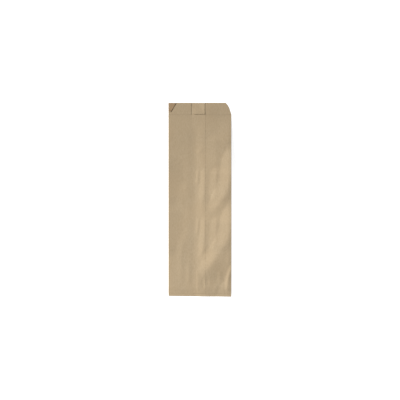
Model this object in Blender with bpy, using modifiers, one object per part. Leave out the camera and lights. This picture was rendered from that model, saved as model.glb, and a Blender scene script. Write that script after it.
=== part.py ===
"""Flat greaseproof paper bag, folded from one sheet and glued, lying on its plain face.

X runs across the bag, Y along it with the closed end at +Y, and Z up towards the seam face.
The origin is the middle of the footprint, on the surface that the bag lies on. The sheet is
made as it is folded: a cut blank, two side folds, a lapped seam along the upper face, and a
tongue turned over the closed end as a flap. Its mouth, at -Y, is open. Metres throughout.
"""
import math

import bmesh
import bpy
from mathutils import Vector
from mathutils.geometry import intersect_point_line

# The folded bag and its paper
BAG_WIDTH = 0.100
BAG_LENGTH = 0.308
PAPER = 0.0001

# Clear space inside a pressed side fold, and between two glued layers
FOLD_GAP = 0.0003
GLUE_GAP = 0.0001

# Lengthwise seam: its free edge right of the middle, its lap, and the paper's rise onto the lap
SEAM_EDGE = 0.0087
SEAM_LAP = 0.0162
LAP_RISE = 0.0045

# Flap over the closed end, and its notch, which clears the seam on both sides
FLAP_DEPTH = 0.0187
NOTCH_MARGIN = 0.0017
NOTCH_CLEARANCE = 0.0003

# Relief cut at the flap's left root, and the strip of flap left beyond it
RELIEF_ROOT = 0.0129
RELIEF_END = 0.0049
RELIEF_STRIP = 0.0048

# Right corner trimmed through every layer: its run along the fold, and the corner it turns at
CORNER_RUN = 0.0090
CORNER_TURN_IN = 0.0042
CORNER_TURN_DOWN = 0.0062

# Mouth: the lower layer stands out as a lip, and the cut runs slightly askew
LIP = 0.0045
MOUTH_SLANT = 0.0012

# Step that the heights and reaches of the swell and the creases are counted in
SWELL_STEP = 0.001

# Loose swell of the upper face: its height at places across the bag, as shares of the half width,
# over the bag's length and at the mouth, and the ridge that the doubled paper makes at the seam
SWELL = (
    (-1.0, 0.44), (-0.56, 0.36), (-0.18, 0.24), (-0.10, 0.26), (0.08, 0.64), (0.26, 0.76),
    (0.60, 1.26), (0.90, 1.66), (1.0, 1.52),
)
MOUTH_SWELL = ((-1.0, 0.3), (-0.5, 0.4), (-0.11, 0.3), (0.0, 0.5), (0.5, 0.1), (0.9, 0.4), (1.0, 0.3))
MOUTH_CHANGE = (-0.62, -0.84)
SEAM_RIDGE = 0.0003
RIDGE_FALL = 0.025

# Pressed run-in below the flap, and how far in from a side fold the lower face lifts with it
PRESSED = 0.022
LIFT_RUN = 0.0129

# Creases of the upper face. A crease's points are shares of the half width and half length, drawn
# towards the mouth, and then come its height, how far its left and right flanks reach, and how
# rounded its crest is, all in steps.
UPPER_CREST = (
    ((1.10, 0.53), (1.05, 0.40), (1.00, 0.30), (0.96, 0.18), (0.90, 0.10), (0.80, 0.025), (0.67, -0.03),
     (0.55, -0.085), (0.38, -0.175)),
    1.85, 16, 42, 4.5,
)
LOWER_CREST = (
    ((1.10, 0.025), (1.05, -0.10), (1.00, -0.21), (0.96, -0.325), (0.90, -0.41), (0.80, -0.48), (0.68, -0.54),
     (0.58, -0.59), (0.47, -0.64), (0.35, -0.695), (0.22, -0.74), (0.12, -0.79), (0.04, -0.845)),
    1.85, 16, 42, 4.5,
)
UPPER_DIP = (((1.00, 0.01), (0.88, -0.025), (0.76, -0.08), (0.62, -0.14)), -0.3, 9, 9, 2)
LOWER_DIP = (
    ((1.04, -0.47), (0.88, -0.53), (0.80, -0.60), (0.76, -0.69), (0.76, -0.79), (0.72, -0.92)),
    -0.2, 15, 8, 2,
)
SHOULDER = (((0.52, 0.70), (0.52, 0.49), (0.54, 0.28)), 0.4, 15, 24, 2)
MOUTH_CREST = (((1.12, -0.64), (1.04, -0.715), (0.94, -0.78), (0.87, -0.83), (0.84, -0.99)), 0.7, 7, 9, 1)

# These creases come twice, one pitch apart, as in a bag that has lain bent in a stack
CREASE_PITCH = 0.078
RIGHT_CREASE = (((0.54, 0.35), (0.53, 0.22), (0.51, 0.10), (0.44, 0.0), (0.36, -0.08)), 0.75, 10, 26, 1.5)
SEAM_CREASE = (((0.13, 0.35), (0.15, 0.18), (0.06, -0.065)), 0.5, 8, 34, 1)
LEFT_CREASE = (((-1.04, 0.50), (-1.04, 0.20), (-1.04, -0.12)), 0.95, 6, 26, 1)

# Share of a crease's length that fades out at each end, share of its reach left there, and sharpness
FADE_SHARE = 0.25
END_SHARE = 0.4
SHARPNESS = 1.25

# Fineness of the sheet: cells across and along the upper face, and steps round a fold
CELL_ACROSS = 0.0050
CELL_ALONG = 0.0075
FOLD_STEPS = 4

# Heights of the layers' middle surfaces, and radii of the folds between them
UNDER_LEVEL = PAPER / 2
PANEL_LEVEL = UNDER_LEVEL + PAPER + FOLD_GAP
LAP_LEVEL = PANEL_LEVEL + PAPER + GLUE_GAP
FLAP_LEVEL = LAP_LEVEL
SIDE_RADIUS = (PANEL_LEVEL - UNDER_LEVEL) / 2
END_RADIUS = (FLAP_LEVEL - UNDER_LEVEL) / 2

# Fold lines and cut lines in the lying bag
SIDE_FOLD = BAG_WIDTH / 2 - SIDE_RADIUS - PAPER / 2
END_FOLD = BAG_LENGTH / 2 - END_RADIUS - PAPER / 2
MOUTH = -BAG_LENGTH / 2
PANEL_EDGE = MOUTH + LIP
FLAP_EDGE = END_FOLD - FLAP_DEPTH
RELIEF_LINE = FLAP_EDGE + RELIEF_STRIP
LAP_EDGE = SEAM_EDGE - SEAM_LAP
NOTCH_LEFT = LAP_EDGE - LAP_RISE - NOTCH_MARGIN
NOTCH_RIGHT = SEAM_EDGE + NOTCH_CLEARANCE

PAPER_COLOUR = (0.463, 0.371, 0.238, 1.0)


def steps_between(start, end, cell):
    """Places after start up to end, evenly spaced about one cell apart."""
    count = max(1, round(abs(end - start) / cell))
    return [start + (end - start) * step / count for step in range(1, count + 1)]


def blank_columns():
    """Lines along the blank, edge to edge, as (layer, place across the bag, angle in a fold)."""
    turn = [math.pi * step / FOLD_STEPS for step in range(1, FOLD_STEPS)]
    lap = [LAP_EDGE] + steps_between(LAP_EDGE, SEAM_EDGE, CELL_ACROSS)
    right = lap + steps_between(SEAM_EDGE, SIDE_FOLD, CELL_ACROSS)
    under = [SIDE_FOLD, SIDE_FOLD - RELIEF_END, SIDE_FOLD - RELIEF_ROOT, NOTCH_RIGHT]
    under += [NOTCH_LEFT, RELIEF_ROOT - SIDE_FOLD, RELIEF_END - SIDE_FOLD, -SIDE_FOLD]
    left = [-SIDE_FOLD] + steps_between(-SIDE_FOLD, NOTCH_LEFT, CELL_ACROSS)
    left += [LAP_EDGE - LAP_RISE] + lap
    return (
        [("right", x, 0.0) for x in right]
        + [("right fold", SIDE_FOLD, angle) for angle in turn]
        + [("under", x, 0.0) for x in under]
        + [("left fold", -SIDE_FOLD, angle) for angle in turn]
        + [("left", x, 0.0) for x in left]
    )


def blank_rows():
    """Lines across the blank, mouth to tongue, as (stretch, place along the bag, angle in the fold)."""
    turn = [math.pi * step / FOLD_STEPS for step in range(1, FOLD_STEPS)]
    bag = [MOUTH, PANEL_EDGE] + steps_between(PANEL_EDGE, FLAP_EDGE, CELL_ALONG) + [RELIEF_LINE, END_FOLD]
    tongue = [END_FOLD, RELIEF_LINE, FLAP_EDGE]
    return (
        [("bag", y, 0.0) for y in bag]
        + [("end fold", END_FOLD, angle) for angle in turn]
        + [("tongue", y, 0.0) for y in tongue]
    )


def smooth(share):
    """Smooth step from 0 to 1."""
    share = min(max(share, 0.0), 1.0)
    return share * share * (3.0 - 2.0 * share)


def section_height(x, section):
    """Height of a cross-section at a place across the bag."""
    share = min(max(x / (BAG_WIDTH / 2), section[0][0]), section[-1][0])
    for (start, low), (end, high) in zip(section, section[1:]):
        if share <= end:
            return SWELL_STEP * (low + (high - low) * (share - start) / (end - start))
    return SWELL_STEP * section[-1][1]


def crease_height(x, y, crease):
    """Height of a crease at a point, greatest at its crest and faded out at its ends."""
    crest = crease[0]
    height, left_reach, right_reach, rounding = (SWELL_STEP * count for count in crease[1:])
    here = Vector((x, y, 0.0))
    points = [Vector((across * BAG_WIDTH / 2, along * BAG_LENGTH / 2, 0.0)) for across, along in crest]
    whole = sum((end - start).length for start, end in zip(points, points[1:]))
    nearest = math.inf
    gone = 0.0
    for start, end in zip(points, points[1:]):
        share = min(max(intersect_point_line(here, start, end)[1], 0.0), 1.0)
        distance = (here - start.lerp(end, share)).length
        if distance < nearest:
            nearest = distance
            reach = right_reach if (end - start).cross(here - start).z > 0.0 else left_reach
            along = (gone + share * (end - start).length) / whole
        gone += (end - start).length
    taper = smooth(along / FADE_SHARE) * smooth((1.0 - along) / FADE_SHARE)
    reach *= END_SHARE + (1.0 - END_SHARE) * taper
    down = math.hypot(nearest, rounding) - rounding
    return height * taper * max(1.0 - down / reach, 0.0) ** SHARPNESS


def swell_height(x, y):
    """Height of the upper face above the pressed bag, nothing under the flap."""
    start, end = (share * BAG_LENGTH / 2 for share in MOUTH_CHANGE)
    to_mouth = smooth((start - y) / (start - end))
    height = section_height(x, SWELL) * (1.0 - to_mouth) + section_height(x, MOUTH_SWELL) * to_mouth
    for crease in (UPPER_CREST, LOWER_CREST, UPPER_DIP, LOWER_DIP, SHOULDER, MOUTH_CREST):
        height += crease_height(x, y, crease)
    for crease in (RIGHT_CREASE, SEAM_CREASE, LEFT_CREASE):
        height += crease_height(x, y, crease) + crease_height(x, y + CREASE_PITCH, crease)
    onto_ridge = min(max((x - LAP_EDGE) / (SEAM_EDGE - LAP_EDGE), 0.0), 1.0)
    height = max(height, 0.0) + SEAM_RIDGE * onto_ridge * smooth((SEAM_EDGE + RIDGE_FALL - x) / RIDGE_FALL)
    return height * smooth((FLAP_EDGE - y) / PRESSED)


def lift_height(x, y):
    """Height that the lower face is lifted beside a side fold, as high as the fold itself."""
    inward = min((SIDE_FOLD - abs(x)) / LIFT_RUN, 1.0)
    return swell_height(math.copysign(SIDE_FOLD, x), y) * (1.0 - inward) ** 2


def folded_place(column, row):
    """Where a crossing of the blank's lines lies once the sheet is folded."""
    layer, x, side_angle = column
    stretch, y, end_angle = row
    if stretch == "end fold":
        middle = (UNDER_LEVEL + FLAP_LEVEL) / 2
        return Vector((x, y + END_RADIUS * math.sin(end_angle), middle - END_RADIUS * math.cos(end_angle)))
    if stretch == "tongue":
        return Vector((x, y, FLAP_LEVEL))
    askew = MOUTH_SLANT * (SIDE_FOLD - x) / (2 * SIDE_FOLD) * (END_FOLD - y) / (END_FOLD - MOUTH)
    middle = (UNDER_LEVEL + PANEL_LEVEL) / 2
    z = UNDER_LEVEL + lift_height(x, y)
    if layer == "right fold":
        z = middle + SIDE_RADIUS * math.cos(side_angle) + lift_height(x, y)
        x += SIDE_RADIUS * math.sin(side_angle)
    elif layer == "left fold":
        z = middle - SIDE_RADIUS * math.cos(side_angle) + lift_height(x, y)
        x -= SIDE_RADIUS * math.sin(side_angle)
    elif layer == "right":
        z = PANEL_LEVEL + swell_height(x, y)
    elif layer == "left":
        onto_lap = smooth((x - (LAP_EDGE - LAP_RISE)) / LAP_RISE)
        z = PANEL_LEVEL + (LAP_LEVEL - PANEL_LEVEL) * onto_lap + swell_height(x, y)
    return Vector((x, y + askew, z))


def is_cut_away(left, right, near, far):
    """Whether the blank has no paper in the cell between two columns and two rows."""
    middle = (left[1] + right[1]) / 2
    in_under = left[0] == "under" and right[0] == "under"
    if far[0] != "bag":
        in_notch = NOTCH_LEFT < middle < NOTCH_RIGHT
        in_relief = near[1] > RELIEF_LINE and far[1] >= RELIEF_LINE and middle < RELIEF_END - SIDE_FOLD
        beside_root = far[0] == "end fold" or near[0] == "end fold"
        return not in_under or in_notch or in_relief or (beside_root and middle < RELIEF_ROOT - SIDE_FOLD)
    if in_under:
        return False
    over_lap = left[0] == "left" and right[0] == "left" and middle > NOTCH_LEFT
    return near[1] < PANEL_EDGE or (over_lap and near[1] >= FLAP_EDGE)


def cut_relief(sheet, root, end, kept):
    """Cut the slanted side of the relief from root to end, and keep the half that has kept in it."""
    cell = next(face for face in root.link_faces if end in face.verts)
    bmesh.utils.face_split(cell, root, end)
    scrap = next(face for face in root.link_faces if end in face.verts and kept not in face.verts)
    bmesh.ops.delete(sheet, geom=[scrap], context="FACES")


def trim_corner(sheet):
    """Trim the right corner of the closed end through every layer."""
    side = BAG_WIDTH / 2
    end = BAG_LENGTH / 2
    outline = (
        Vector((side - CORNER_RUN, end, 0.0)),
        Vector((side - CORNER_TURN_IN, end - CORNER_TURN_DOWN, 0.0)),
        Vector((side, FLAP_EDGE, 0.0)),
    )
    for start, stop in zip(outline, outline[1:]):
        along = stop - start
        outward = Vector((-along.y, along.x, 0.0)).normalized()
        everything = sheet.verts[:] + sheet.edges[:] + sheet.faces[:]
        bmesh.ops.bisect_plane(sheet, geom=everything, plane_co=start, plane_no=outward, clear_outer=True)


def folded_sheet():
    """The cut and folded sheet as one open surface, through the middle of the paper."""
    columns = blank_columns()
    rows = blank_rows()
    sheet = bmesh.new()
    bmesh.ops.create_grid(sheet, x_segments=len(columns) - 1, y_segments=len(rows) - 1, size=0.5)
    place = {}
    for vert in sheet.verts:
        column = round((vert.co.x + 0.5) * (len(columns) - 1))
        row = round((vert.co.y + 0.5) * (len(rows) - 1))
        place[vert] = (column, row)
    scrap = []
    for face in sheet.faces:
        column = min(place[vert][0] for vert in face.verts)
        row = min(place[vert][1] for vert in face.verts)
        if is_cut_away(columns[column], columns[column + 1], rows[row], rows[row + 1]):
            scrap.append(face)
    crossings = {cell: vert for vert, cell in place.items()}
    for vert, (column, row) in place.items():
        vert.co = folded_place(columns[column], rows[row])
    bmesh.ops.delete(sheet, geom=scrap, context="FACES")
    root_column = columns.index(("under", RELIEF_ROOT - SIDE_FOLD, 0.0))
    root_row = rows.index(("tongue", END_FOLD, 0.0))
    root = crossings[(root_column, root_row)]
    end = crossings[(root_column + 1, root_row + 1)]
    kept = crossings[(root_column, root_row + 1)]
    cut_relief(sheet, root, end, kept)
    trim_corner(sheet)
    return sheet


def paper_material():
    """Brown greaseproof kraft, smooth on its pressed face."""
    material = bpy.data.materials.new("brown_greaseproof_paper")
    material.use_nodes = True
    surface = material.node_tree.nodes["Principled BSDF"]
    surface.inputs["Base Color"].default_value = PAPER_COLOUR
    surface.inputs["Roughness"].default_value = 0.6
    surface.inputs["Metallic"].default_value = 0.0
    return material


def paper_bag(collection):
    """The whole bag, one folded sheet."""
    sheet = folded_sheet()
    mesh = bpy.data.meshes.new("paper_bag")
    sheet.to_mesh(mesh)
    sheet.free()
    mesh.materials.append(paper_material())
    bag = bpy.data.objects.new("paper_bag", mesh)
    collection.objects.link(bag)
    thickness = bag.modifiers.new("paper thickness", "SOLIDIFY")
    thickness.thickness = PAPER
    thickness.offset = 0.0
    thickness.use_rim = True
    return bag


def main():
    for item in list(bpy.data.objects):
        bpy.data.objects.remove(item, do_unlink=True)
    collection = bpy.data.collections.new("greaseproof_paper_bag")
    bpy.context.scene.collection.children.link(collection)
    paper_bag(collection)


main()
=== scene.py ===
"""A long brown greaseproof paper bag, flat and empty, lying on its plain face with the seam up."""
import math

import bmesh
import bpy
import numpy as np
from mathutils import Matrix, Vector


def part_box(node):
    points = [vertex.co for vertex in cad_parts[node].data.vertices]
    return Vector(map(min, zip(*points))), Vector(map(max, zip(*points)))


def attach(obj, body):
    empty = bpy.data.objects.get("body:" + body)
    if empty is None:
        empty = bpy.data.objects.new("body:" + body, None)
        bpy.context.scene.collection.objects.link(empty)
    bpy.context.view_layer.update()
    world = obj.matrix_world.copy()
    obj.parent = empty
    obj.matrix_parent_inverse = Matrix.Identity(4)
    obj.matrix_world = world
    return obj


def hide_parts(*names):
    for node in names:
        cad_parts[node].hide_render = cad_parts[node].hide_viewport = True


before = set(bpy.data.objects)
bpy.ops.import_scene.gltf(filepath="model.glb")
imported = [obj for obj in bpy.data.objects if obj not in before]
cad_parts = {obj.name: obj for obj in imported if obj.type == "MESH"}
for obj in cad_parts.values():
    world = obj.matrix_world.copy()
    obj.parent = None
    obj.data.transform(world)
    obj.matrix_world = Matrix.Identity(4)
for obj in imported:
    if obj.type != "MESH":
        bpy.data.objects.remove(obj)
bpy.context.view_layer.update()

# The bag's sheet: brown greaseproof kraft about 0.1 mm thick, cut as a blank and folded flat.
# Two side folds bring its long edges together over the upper face, where they are lapped and glued.
# A tongue of the plain face is turned over the closed end and glued down as a flap. Lengths are in metres.
low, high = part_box("paper_bag")
PAPER = 0.0001
FOLD_GAP = 0.0003
GLUE_GAP = 0.00002
PLAIN_LEVEL = PAPER / 2
PANEL_LEVEL = PLAIN_LEVEL + PAPER + FOLD_GAP
FLAP_LEVEL = PANEL_LEVEL + PAPER + GLUE_GAP
SIDE_RADIUS = (PANEL_LEVEL - PLAIN_LEVEL) / 2
END_RADIUS = (FLAP_LEVEL - PLAIN_LEVEL) / 2
SIDE_FOLD = high[0] - SIDE_RADIUS - PAPER / 2
END_FOLD = high[1] - END_RADIUS - PAPER / 2
MOUTH = low[1]
PANEL_EDGE = MOUTH + 0.0045
SEAM_EDGE = 0.0087
LAP_EDGE = SEAM_EDGE - 0.0162
LAP_START = LAP_EDGE - 0.0045
FLAP_EDGE = END_FOLD - 0.0187
NOTCH_LEFT = SEAM_EDGE - 0.0224
NOTCH_RIGHT = SEAM_EDGE + 0.0003
RELIEF_LINE = FLAP_EDGE + 0.0048
RELIEF_ROOT = -SIDE_FOLD + 0.0129
RELIEF_END = -SIDE_FOLD + 0.0049
TRIM = [(0.0090, 0.0), (0.0058, 0.0040), (0.0035, 0.0080)]
FOLD_STEPS = 8
NEAR = 0.00001


def pick(kind, wanted):
    """Select, in edit mode, only the edges or faces whose middle is wanted."""
    bpy.ops.mesh.select_mode(type=kind)
    bpy.ops.mesh.select_all(action="DESELECT")
    shape = bmesh.from_edit_mesh(bpy.context.edit_object.data)
    items = {"EDGE": shape.edges, "FACE": shape.faces}[kind]
    for item in items:
        item.select_set(wanted(sum((corner.co for corner in item.verts), Vector()) / len(item.verts)))
    shape.select_flush_mode()
    bmesh.update_edit_mesh(bpy.context.edit_object.data)


def turn_over(center, axis):
    """Carry the selected edge half way round a fold."""
    bpy.ops.mesh.spin(steps=FOLD_STEPS, angle=math.pi, center=center, axis=axis)


def lay_on(across, along, up=0.0):
    """Carry the selected edge on from a fold."""
    bpy.ops.mesh.extrude_region_move(TRANSFORM_OT_translate={"value": (across, along, up)})


def cut_line(place, direction, wanted, clear=False):
    """Cut the wanted faces along an upright plane, and drop what lies beyond it if asked."""
    pick("FACE", wanted)
    upright = Vector(direction).normalized()
    bpy.ops.mesh.bisect(plane_co=place, plane_no=upright, clear_outer=clear, threshold=NEAR / 10)


bpy.ops.object.select_all(action="DESELECT")
bpy.ops.mesh.primitive_plane_add(size=1.0, location=(0.0, 0.0, 0.0))
bag = bpy.context.active_object
bag.name = "paper_bag_sheet"
bag.data.name = "paper_bag_sheet"
bpy.ops.object.mode_set(mode="EDIT")
bpy.ops.transform.resize(value=(2 * SIDE_FOLD, END_FOLD - MOUTH, 1.0))
bpy.ops.transform.translate(value=(0.0, (END_FOLD + MOUTH) / 2, PLAIN_LEVEL))

# Side folds: the right one carries the under lap, the left one the upper lap with the free edge.
pick("EDGE", lambda at: at.x > SIDE_FOLD - NEAR)
turn_over((SIDE_FOLD, 0.0, PLAIN_LEVEL + SIDE_RADIUS), (0.0, 1.0, 0.0))
lay_on(LAP_EDGE - SIDE_FOLD, 0.0)
pick("EDGE", lambda at: abs(at.x + SIDE_FOLD) < NEAR and at.z < PANEL_LEVEL - NEAR)
turn_over((-SIDE_FOLD, 0.0, PLAIN_LEVEL + SIDE_RADIUS), (0.0, -1.0, 0.0))
lay_on(NOTCH_LEFT + SIDE_FOLD, 0.0)
lay_on(LAP_START - NOTCH_LEFT, 0.0)
lay_on(LAP_EDGE - LAP_START, 0.0, FLAP_LEVEL - PANEL_LEVEL)
lay_on(SEAM_EDGE - LAP_EDGE, 0.0)

# Mouth and notch: the upper face stops short of the lip, and its lap short of the closed end. Cuts at
# each third of its length keep a row of cells within what one subdivide takes.
third = (FLAP_EDGE - PANEL_EDGE) / 3
for line in (PANEL_EDGE, PANEL_EDGE + third, FLAP_EDGE - third, FLAP_EDGE):
    cut_line((0.0, line, 0.0), (0.0, 1.0, 0.0), lambda at: True)
pick("FACE", lambda at: at.y < PANEL_EDGE and at.z > PLAIN_LEVEL + NEAR)
bpy.ops.mesh.delete(type="FACE")
on_left_lap = [(NOTCH_LEFT, LAP_START), (LAP_START, LAP_EDGE), (LAP_EDGE, SEAM_EDGE)]
lap_middles = [(near + far) / 2 for near, far in on_left_lap]
pick("FACE", lambda at: at.y > FLAP_EDGE and at.z > PLAIN_LEVEL + NEAR
     and any(abs(at.x - middle) < NEAR for middle in lap_middles))
bpy.ops.mesh.delete(type="FACE")

# Tongue: two leaves of the plain face, left and right of the notch, turned over the closed end.
for line in (NOTCH_LEFT, NOTCH_RIGHT):
    cut_line((line, 0.0, 0.0), (1.0, 0.0, 0.0), lambda at: at.z < PLAIN_LEVEL + NEAR)
pick("EDGE", lambda at: at.y > END_FOLD - NEAR and at.z < PLAIN_LEVEL + NEAR
     and abs(at.x) < SIDE_FOLD and not NOTCH_LEFT < at.x < NOTCH_RIGHT)
turn_over((0.0, END_FOLD, PLAIN_LEVEL + END_RADIUS), (-1.0, 0.0, 0.0))
lay_on(0.0, RELIEF_LINE - END_FOLD)
lay_on(0.0, FLAP_EDGE - RELIEF_LINE)

# The paper that shows in the notch and the relief springs up beside the cut edges below and right of
# it. In the notch it runs up from the left edge, and lies back down above the lower edge left of the seam.
SPRING = 0.0005
SPRING_RUN = 0.0008
SPRING_BACK = 0.018
SPRING_LEFT = 0.006
SPRING_STAYS = (-0.002, 0.007)
OPENING_EDGES = [
    (Vector((NOTCH_LEFT, FLAP_EDGE)), Vector((NOTCH_RIGHT, FLAP_EDGE))),
    (Vector((NOTCH_RIGHT, FLAP_EDGE)), Vector((NOTCH_RIGHT, END_FOLD))),
    (Vector((low[0], RELIEF_LINE)), Vector((RELIEF_END, RELIEF_LINE))),
    (Vector((RELIEF_END, RELIEF_LINE)), Vector((RELIEF_ROOT, END_FOLD))),
]
cut_line((NOTCH_RIGHT - SPRING_RUN, 0.0, 0.0), (1.0, 0.0, 0.0), lambda at: True)
for line in (FLAP_EDGE + SPRING_RUN, RELIEF_LINE + SPRING_RUN):
    cut_line((0.0, line, 0.0), (0.0, 1.0, 0.0), lambda at: True)

# Fine cells: rows along the bag and columns across it, so that the paper can buckle.
CELL_ALONG = 0.0018
CELL_ACROSS = 0.0012


def divide(run, cell):
    """Cut all the edges that run along one axis into even cells."""
    shape = bmesh.from_edit_mesh(bag.data)
    lengths = {round(abs(edge.verts[1].co[run] - edge.verts[0].co[run]), 6) for edge in shape.edges}
    for length in sorted(length for length in lengths if length > 1.5 * cell):
        bpy.ops.mesh.select_mode(type="EDGE")
        bpy.ops.mesh.select_all(action="DESELECT")
        shape = bmesh.from_edit_mesh(bag.data)
        for edge in shape.edges:
            edge.select_set(abs(abs(edge.verts[1].co[run] - edge.verts[0].co[run]) - length) < NEAR)
        bmesh.update_edit_mesh(bag.data)
        bpy.ops.mesh.subdivide(number_cuts=round(length / cell) - 1)


divide(1, CELL_ALONG)
divide(0, CELL_ACROSS)

# Relief cut at the flap's left root, and the right corner trimmed through every layer.
slant = Vector((RELIEF_END - RELIEF_ROOT, RELIEF_LINE - END_FOLD, 0.0))
into_relief = Vector((slant.y, -slant.x, 0.0)).normalized()
for step in (0.0, SPRING_RUN):
    cut_line(Vector((RELIEF_ROOT, END_FOLD, 0.0)) + into_relief * step, into_relief,
             lambda at: at.x < NOTCH_LEFT and FLAP_EDGE < at.y < END_FOLD and at.z < FLAP_LEVEL - NEAR)
cut_line((RELIEF_ROOT, END_FOLD, 0.0), into_relief,
         lambda at: at.x < NOTCH_LEFT and (at.y > END_FOLD + NEAR
                                           or at.y > RELIEF_LINE and at.z > FLAP_LEVEL - NEAR), clear=True)
corner = [(high[0] - inwards, high[1] - down) for inwards, down in TRIM] + [(high[0], FLAP_EDGE)]
for start, stop in zip(corner, corner[1:]):
    outward = (start[1] - stop[1], stop[0] - start[0], 0.0)
    cut_line((start[0], start[1], 0.0), outward, lambda at: True, clear=True)
bpy.ops.mesh.select_all(action="SELECT")
bpy.ops.mesh.normals_make_consistent(inside=False)
bpy.ops.object.mode_set(mode="OBJECT")

# The paper that the relief cut leaves bare takes the second material, whose darker colour is painted shade of
# the recess under the cut.
for face in bag.data.polygons:
    at = face.center
    past_slant = (at.x - RELIEF_ROOT) * into_relief.x + (at.y - END_FOLD) * into_relief.y > 0.0
    bare = past_slant and RELIEF_LINE < at.y and at.x < NOTCH_LEFT and at.z > PLAIN_LEVEL + NEAR
    face.material_index = int(bare)

# Buckles: places across the bag and heights of its upper face there, in millimetres, for its length and
# for its mouth. The swell starts at the flap. At the side folds and the mouth both faces lift together.
SECTION = [(-50, 0.44), (-44, 0.40), (-36, 0.37), (-28, 0.36), (-18, 0.34), (-13, 0.25), (-7.5, 0.10),
           (-5, 0.14), (4, 0.54), (8, 0.60), (13, 0.70), (30, 1.24), (38, 1.53), (45, 1.66), (50, 1.52)]
MOUTH_SECTION = [(-50, 0.30), (-40, 0.37), (-28, 0.42), (-18, 0.40), (-12, 0.35), (-5.5, 0.22), (-2, 0.36),
                 (2, 0.42), (8, 0.32), (24, 0.06), (28, 0.06), (34, 0.16), (46, 0.40), (50, 0.34)]
TO_MOUTH_FROM = -0.095
TO_MOUTH_RUN = 0.035
PRESSED = 0.045
CLOSED_MOUTH = 0.025
LIFT_RUN = 0.015
FLAP_CLOSES = 0.030
MOUTH_CLOSES = 0.010

# The doubled paper makes a ridge along the seam, and past its free edge the under layer rises a little.
RIDGE = 0.00030
RIDGE_RISE_FROM = LAP_EDGE - 0.0015
RIDGE_RISE = 0.0175
RIDGE_FALL = 0.025
RIDGE_END = 0.008
STEP_UP = 0.00004
STEP_UP_RUN = 0.0006
STEP_UP_FALL = 0.030
STEP_UP_END = 0.002

# Creases: each is a line of points in millimetres from the bag's middle, drawn towards the mouth, then
# its height, how far its left and right flanks reach, and how rounded its crest is. The first ones
# came from lying bent in a stack, so they stand in the paper twice, one pitch apart.
MM_IN_METRE = 1000.0
STACK_PITCH = 78
STACK_CREASES = [
    ([(27, 54), (26.5, 34), (25.5, 18), (23, 5), (20, -5)], 0.75, 10, 26, 1.5),
    ([(-3.5, 50), (-3, 40), (-4.5, 20)], 0.22, 3, 3.5, 0.6),
    ([(6.5, 54), (7.5, 42), (7.5, 28), (6.5, 14), (5, 2), (3, -10)], 0.50, 8, 34, 0.6),
    ([(-52, 78), (-52, 30), (-52, -18)], 0.95, 6, 26, 0.6),
    ([(-20, 30), (-24, 12), (-29, -2), (-36, -12)], 0.20, 10, 16, 1.0),
]
CREASES = [
    ([(55, 92), (53.5, 66), (51.5, 46), (48.5, 28), (44.5, 15), (39, 4), (32.5, -5), (26.5, -13), (18, -27)],
     1.85, 16, 42, 4.5),
    ([(56, 4), (54, -16), (51.5, -32), (48.5, -50), (44.5, -63), (39, -74), (32.5, -83), (27, -91),
      (21.5, -99), (16, -107), (10.5, -114), (6, -122), (2, -130)], 1.85, 16, 42, 4.5),
    ([(50, 2), (44, -4), (38, -12), (31, -22)], -0.18, 9, 9, 2.0),
    ([(52, -72), (44, -81), (40, -92), (38, -106), (38, -122), (36, -142)], -0.20, 15, 8, 2.0),
    ([(26, 108), (26, 76), (27, 44)], 0.40, 15, 24, 2.0),
    ([(54, -96), (51, -107), (47, -118), (44.5, -128), (43.5, -140), (43, -152)], 0.62, 4.5, 9, 0.8),
    ([(-26, -56), (-29, -80), (-30, -104), (-29, -136)], 0.16, 7, 9, 1.0),
    ([(-17, -98), (-17.5, -118), (-17, -138)], 0.18, 5, 6, 1.0),
    ([(-4, 103), (0, 101), (4, 104)], 0.12, 2, 2, 0.6),
    ([(5, 82), (0, 76), (-5, 72)], 0.14, 5, 4, 1.0),
    ([(6, -74), (4, -86), (1, -98)], 0.28, 7, 9, 1.0),
    ([(-3.5, -106), (-4, -126), (-3.5, -152)], 0.16, 2, 4, 0.5),
    ([(32, -112), (31.5, -123), (31, -136)], 0.16, 4, 5, 0.8),
    ([(37, -130), (37.5, -140), (37, -152)], 0.16, 4, 5, 0.8),
    ([(27, -130), (25, -141), (22, -152)], 0.14, 4, 5, 0.8),
    ([(12, -124), (12.5, -131), (13, -138)], -0.16, 3, 2, 0.8),
    ([(4, -124), (5, -134), (4.5, -144)], -0.18, 4, 3, 1.0),
]

# A flank falls away by the power SHARPNESS. Over FADE of its length at each end a crease eases out, and
# its flanks narrow to the share NARROWEST.
SHARPNESS = 1.25
FADE = 0.25
NARROWEST = 0.4
LINE_STEPS = 8


def ease(share):
    """Smooth step from 0 to 1."""
    share = np.clip(share, 0.0, 1.0)
    return share * share * (3.0 - 2.0 * share)


def crest_line(points):
    """Smooth line through the points, in metres, with a few steps from one to the next."""
    through = np.array(points, dtype=float) / MM_IN_METRE
    through = np.vstack([2 * through[0] - through[1], through, 2 * through[-1] - through[-2]])
    line = []
    for before, start, stop, after in zip(through, through[1:], through[2:], through[3:]):
        for share in np.arange(0.0, 1.0, 1 / LINE_STEPS):
            bend = 2 * before - 5 * start + 4 * stop - after
            turn = 3 * (start - stop) + after - before
            line.append(start + 0.5 * share * (stop - before + share * (bend + share * turn)))
    line.append(through[-2])
    return np.array(line)


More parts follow.
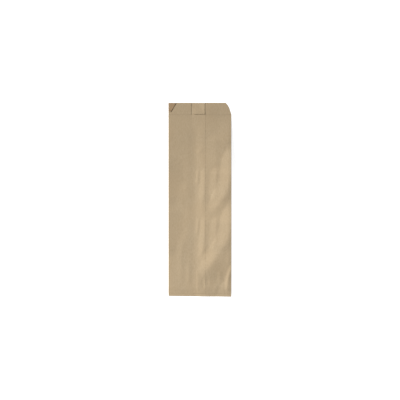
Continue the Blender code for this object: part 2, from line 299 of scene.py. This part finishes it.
def crease_height(x, y, points, height, left_reach, right_reach, crown):
    """Height of one crease over the face, sharp at its crest and eased out at its ends."""
    line = crest_line(points)
    lengths = np.hypot(*np.diff(line, axis=0).T)
    gone = np.append(0.0, np.cumsum(lengths)) / lengths.sum()
    nearest = np.full(x.shape, np.inf)
    side = np.zeros(x.shape)
    along = np.zeros(x.shape)
    for start, stop, begun, done in zip(line, line[1:], gone, gone[1:]):
        span = stop - start
        share = np.clip(((x - start[0]) * span[0] + (y - start[1]) * span[1]) / (span @ span), 0.0, 1.0)
        off_x = x - start[0] - share * span[0]
        off_y = y - start[1] - share * span[1]
        distance = np.hypot(off_x, off_y)
        closer = distance < nearest
        nearest = np.where(closer, distance, nearest)
        side = np.where(closer, span[0] * off_y - span[1] * off_x, side)
        along = np.where(closer, begun + share * (done - begun), along)
    taper = ease(along / FADE) * ease((1.0 - along) / FADE)
    narrowed = NARROWEST + (1.0 - NARROWEST) * taper
    reach = np.where(side > 0, right_reach, left_reach) * narrowed / MM_IN_METRE
    down = np.hypot(nearest, crown / MM_IN_METRE) - crown / MM_IN_METRE
    return height / MM_IN_METRE * taper * (1.0 - np.clip(down / reach, 0.0, 1.0)) ** SHARPNESS


def section_height(x, section):
    """Height of a cross-section of the upper face."""
    places, heights = np.array(section, dtype=float).T / MM_IN_METRE
    return np.interp(x, places, heights)


def swell(x, y):
    """Height that the upper face stands above its flat level."""
    to_mouth = ease((TO_MOUTH_FROM - y) / TO_MOUTH_RUN)
    height = section_height(x, SECTION) * (1.0 - to_mouth) + section_height(x, MOUTH_SECTION) * to_mouth
    for points, *shape in STACK_CREASES:
        for drop in (0, STACK_PITCH):
            height += crease_height(x, y, [(across, along - drop) for across, along in points], *shape)
    for points, *shape in CREASES:
        height += crease_height(x, y, points, *shape)
    return np.maximum(height, 0.0) * ease((FLAP_EDGE - y) / PRESSED)


corners = np.empty(len(bag.data.vertices) * 3)
bag.data.vertices.foreach_get("co", corners)
corners = corners.reshape(-1, 3)
x, y, z = corners.T
inward = np.maximum(SIDE_FOLD - np.abs(x), 0.0)
over = swell(np.clip(x, -SIDE_FOLD, SIDE_FOLD), y)
past_seam = x - SEAM_EDGE
on_ridge = np.clip((x - RIDGE_RISE_FROM) / RIDGE_RISE, 0.0, 1.0) * ease((RIDGE_FALL - past_seam) / RIDGE_FALL)
over += RIDGE * on_ridge * ease((END_FOLD - y) / RIDGE_END)
on_step = np.clip(past_seam / STEP_UP_RUN, 0.0, 1.0) * ease((STEP_UP_FALL - past_seam) / STEP_UP_FALL)
over += STEP_UP * on_step * ease((FLAP_EDGE - y) / STEP_UP_END)
lift = swell(np.where(x > 0.0, SIDE_FOLD, -SIDE_FOLD), y) * np.clip(1.0 - inward / LIFT_RUN, 0.0, 1.0) ** 2
at_mouth = ease((PANEL_EDGE + CLOSED_MOUTH - y) / CLOSED_MOUTH)
under = lift * (1.0 - at_mouth) + over * at_mouth

# The faces close up under the flap and at the mouth, where they lie pressed together.
upper = np.clip((z - PLAIN_LEVEL) / (PANEL_LEVEL - PLAIN_LEVEL), 0.0, 1.0)
closed = np.maximum(ease((y - FLAP_EDGE + FLAP_CLOSES) / FLAP_CLOSES),
                    ease((PANEL_EDGE + MOUTH_CLOSES - y) / MOUTH_CLOSES))
from_edge = np.full(x.shape, np.inf)
for start, stop in OPENING_EDGES:
    span = stop - start
    share = np.clip(((x - start.x) * span.x + (y - start.y) * span.y) / span.length_squared, 0.0, 1.0)
    from_edge = np.minimum(from_edge, np.hypot(x - start.x - share * span.x, y - start.y - share * span.y))
in_notch = (x > NOTCH_LEFT) & (x < NOTCH_RIGHT) & (y > FLAP_EDGE)
beyond_slant = (x - RELIEF_ROOT) * into_relief.x + (y - END_FOLD) * into_relief.y > 0.0
in_relief = beyond_slant & (y > RELIEF_LINE) & (x < NOTCH_LEFT)
spring = SPRING * np.clip(from_edge / SPRING_RUN, 0.0, 1.0) * (z < FLAP_LEVEL - NEAR)
stays = np.clip((x - SPRING_STAYS[0]) / (SPRING_STAYS[1] - SPRING_STAYS[0]), 0.0, 1.0)
back = np.clip(1.0 - (y - FLAP_EDGE) / SPRING_BACK, 0.0, 1.0)
from_left = np.clip((x - NOTCH_LEFT) / SPRING_LEFT, 0.0, 1.0)
spring *= in_relief + in_notch * np.maximum(stays, back) * from_left
z += under * (1.0 - upper) + (over - (FOLD_GAP - GLUE_GAP) * closed) * upper + spring

# The mouth is cut a little askew, so the left side is the shorter one.
MOUTH_SLANT = 0.0012
y += MOUTH_SLANT * (0.5 - x / (high[0] - low[0])) * np.clip((END_FOLD - y) / (END_FOLD - MOUTH), 0.0, 1.0)
bag.data.vertices.foreach_set("co", corners.ravel())
bag.data.update()

# Paper thickness, with the cut edges left square and the folds shaded smooth.
SMOOTH_UP_TO = math.radians(24.0)
bpy.ops.object.select_all(action="DESELECT")
bag.select_set(True)
bpy.context.view_layer.objects.active = bag
thickness = bag.modifiers.new("paper", "SOLIDIFY")
thickness.thickness = PAPER
thickness.offset = 0.0
bpy.ops.object.modifier_apply(modifier=thickness.name)
bpy.ops.object.shade_smooth_by_angle(angle=SMOOTH_UP_TO)
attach(bag, "root")
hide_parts("paper_bag")


# Greaseproof kraft: unbleached wood fibre beaten hard and pressed between rollers. Its fibres show as a
# fine mottle, drawn 1.6 mm wide so that it shows, over tone patches of 45 mm, with a faint sheen.
def linear(code):
    """Linear colour of an sRGB hex value."""
    parts = [int(code[place:place + 2], 16) / 255.0 for place in (0, 2, 4)]
    straight = [part / 12.92 if part <= 0.04045 else ((part + 0.055) / 1.055) ** 2.4 for part in parts]
    return (*straight, 1.0)


def add_node(tree, kind, settings=None, **inputs):
    """Add a node with its settings, and set or link its inputs, which are named or numbered as in _0."""
    node = tree.nodes.new(kind)
    for name, value in (settings or {}).items():
        setattr(node, name, value)
    for name, value in inputs.items():
        numbered = name[0] == "_"
        socket = node.inputs[int(name[1:]) if numbered else name.replace("_", " ")]
        if isinstance(value, bpy.types.NodeSocket):
            tree.links.new(value, socket)
        else:
            socket.default_value = value
    return node


MOTTLE = 0.0016
MOTTLE_STRETCH = 0.45
PATCH = 0.045
FIBRE_RELIEF = 0.0001


def kraft(name, dark, light, patch):
    """Make kraft paper with a mottle from dark to light and broad patches of one more tone."""
    paper = bpy.data.materials.new(name)
    paper.use_nodes = True
    tree = paper.node_tree
    surface = tree.nodes["Principled BSDF"]
    place = add_node(tree, "ShaderNodeTexCoord").outputs["Object"]
    fibres = add_node(tree, "ShaderNodeMapping", Vector=place, Scale=(1.0, MOTTLE_STRETCH, 1.0))
    mottle = add_node(tree, "ShaderNodeTexNoise", Vector=fibres.outputs["Vector"],
                      Scale=1 / MOTTLE, Detail=2.0, Roughness=0.6)
    colour = add_node(tree, "ShaderNodeValToRGB", Fac=mottle.outputs["Fac"])
    colour.color_ramp.elements[0].position = 0.25
    colour.color_ramp.elements[0].color = linear(dark)
    colour.color_ramp.elements[1].position = 0.75
    colour.color_ramp.elements[1].color = linear(light)
    tone = add_node(tree, "ShaderNodeTexNoise", Vector=place, Scale=1 / PATCH, Detail=2.0, Roughness=0.5)
    toned = add_node(tree, "ShaderNodeMix", {"data_type": "RGBA"}, _0=tone.outputs["Fac"],
                     _6=colour.outputs["Color"], _7=linear(patch))
    tree.links.new(toned.outputs[2], surface.inputs["Base Color"])
    surface.inputs["Roughness"].default_value = 0.75
    surface.inputs["IOR"].default_value = 1.5
    surface.inputs["Specular IOR Level"].default_value = 0.12
    bump = add_node(tree, "ShaderNodeBump", Height=mottle.outputs["Fac"], Strength=0.1, Distance=FIBRE_RELIEF)
    tree.links.new(bump.outputs["Normal"], surface.inputs["Normal"])
    return paper


bag.data.materials.append(kraft("greaseproof_kraft_paper", "b19e80", "c5b295", "c0a988"))

# The same kraft, darker and redder: painted shade for the recess that the relief cut leaves bare.
bag.data.materials.append(kraft("recess_shade_kraft_paper", "a2896c", "b79e80", "b0936f"))

# The floor: a plain matt white table top, which keeps the bag's shadow. It lies a hair below the bag.
FLOOR_GLOW = 0.8
bpy.ops.object.select_all(action="DESELECT")
bpy.ops.mesh.primitive_plane_add(size=6.0, location=(0.0, 0.0, -0.0001))
floor = bpy.context.active_object
floor.name = "floor"
white = bpy.data.materials.new("white_floor")
white.use_nodes = True
tree = white.node_tree
matt = tree.nodes["Principled BSDF"]
matt.inputs["Base Color"].default_value = (0.86, 0.86, 0.86, 1.0)
matt.inputs["Roughness"].default_value = 0.9
matt.inputs["Specular IOR Level"].default_value = 0.1
matt.inputs["Emission Color"].default_value = (1.0, 1.0, 1.0, 1.0)


def seen(tree):
    """Share that is 1 where the background is looked at or mirrored, and 0 where it lights the bag."""
    ray = add_node(tree, "ShaderNodeLightPath")
    either = add_node(tree, "ShaderNodeMath", {"operation": "MAXIMUM"},
                      _0=ray.outputs["Is Camera Ray"], _1=ray.outputs["Is Glossy Ray"])
    return add_node(tree, "ShaderNodeMath", {"operation": "MAXIMUM"},
                    _0=either.outputs["Value"], _1=ray.outputs["Is Transmission Ray"]).outputs["Value"]


glow = add_node(tree, "ShaderNodeMath", {"operation": "MULTIPLY"}, _0=seen(tree), _1=FLOOR_GLOW)
tree.links.new(glow.outputs["Value"], matt.inputs["Emission Strength"])
floor.data.materials.append(white)

# Light: a window low on the upper left, a lamp above the lower half, and a pale room, which is white
# where it is looked at or mirrored.
WINDOW_FROM = Vector((-0.87, 0.45, 0.37)).normalized()
WINDOW_AWAY = 8.0
LAMP_OVER = Vector((0.035, -0.12, 0.0))
LAMP_UP = Vector((0.0, 0.0, 3.0))
ROOM_LIGHT = 0.14


def beam(name, place, target, energy, angle, size):
    """Add a spot with a soft edge, from its place to a target, with its cone's angle in degrees."""
    lamp = bpy.data.lights.new(name, "SPOT")
    lamp.energy = energy
    lamp.spot_size = math.radians(angle)
    lamp.spot_blend = 1.0
    lamp.shadow_soft_size = size
    spot = bpy.data.objects.new(name, lamp)
    spot.location = place
    spot.rotation_euler = (target - place).to_track_quat("-Z", "Y").to_euler()
    bpy.context.scene.collection.objects.link(spot)


beam("window", WINDOW_FROM * WINDOW_AWAY, Vector(), energy=4640.0, angle=25.0, size=0.3)
beam("lamp", LAMP_OVER + LAMP_UP, LAMP_OVER, energy=58.0, angle=9.8, size=0.02)
room = bpy.data.worlds.new("room")
room.use_nodes = True
tree = room.node_tree
sky = tree.nodes["Background"]
sky.inputs["Color"].default_value = (1.0, 1.0, 1.0, 1.0)
strength = add_node(tree, "ShaderNodeMath", {"operation": "MULTIPLY_ADD"},
                    _0=seen(tree), _1=1.0 - ROOM_LIGHT, _2=ROOM_LIGHT)
tree.links.new(strength.outputs["Value"], sky.inputs["Strength"])
bpy.context.scene.world = room
bpy.context.scene.view_settings.view_transform = "Standard"

# Camera: straight above, as wide as the photograph, whose bag lies a little off its middle.
VIEW_WIDTH = 0.635
CAMERA_PLACE = (0.0002, -0.0005, 1.6)
lens = bpy.data.cameras.new("camera")
lens.sensor_width = 36.0
lens.lens = lens.sensor_width * CAMERA_PLACE[2] / VIEW_WIDTH
camera = bpy.data.objects.new("camera", lens)
camera.location = CAMERA_PLACE
bpy.context.scene.collection.objects.link(camera)
bpy.context.scene.camera = camera
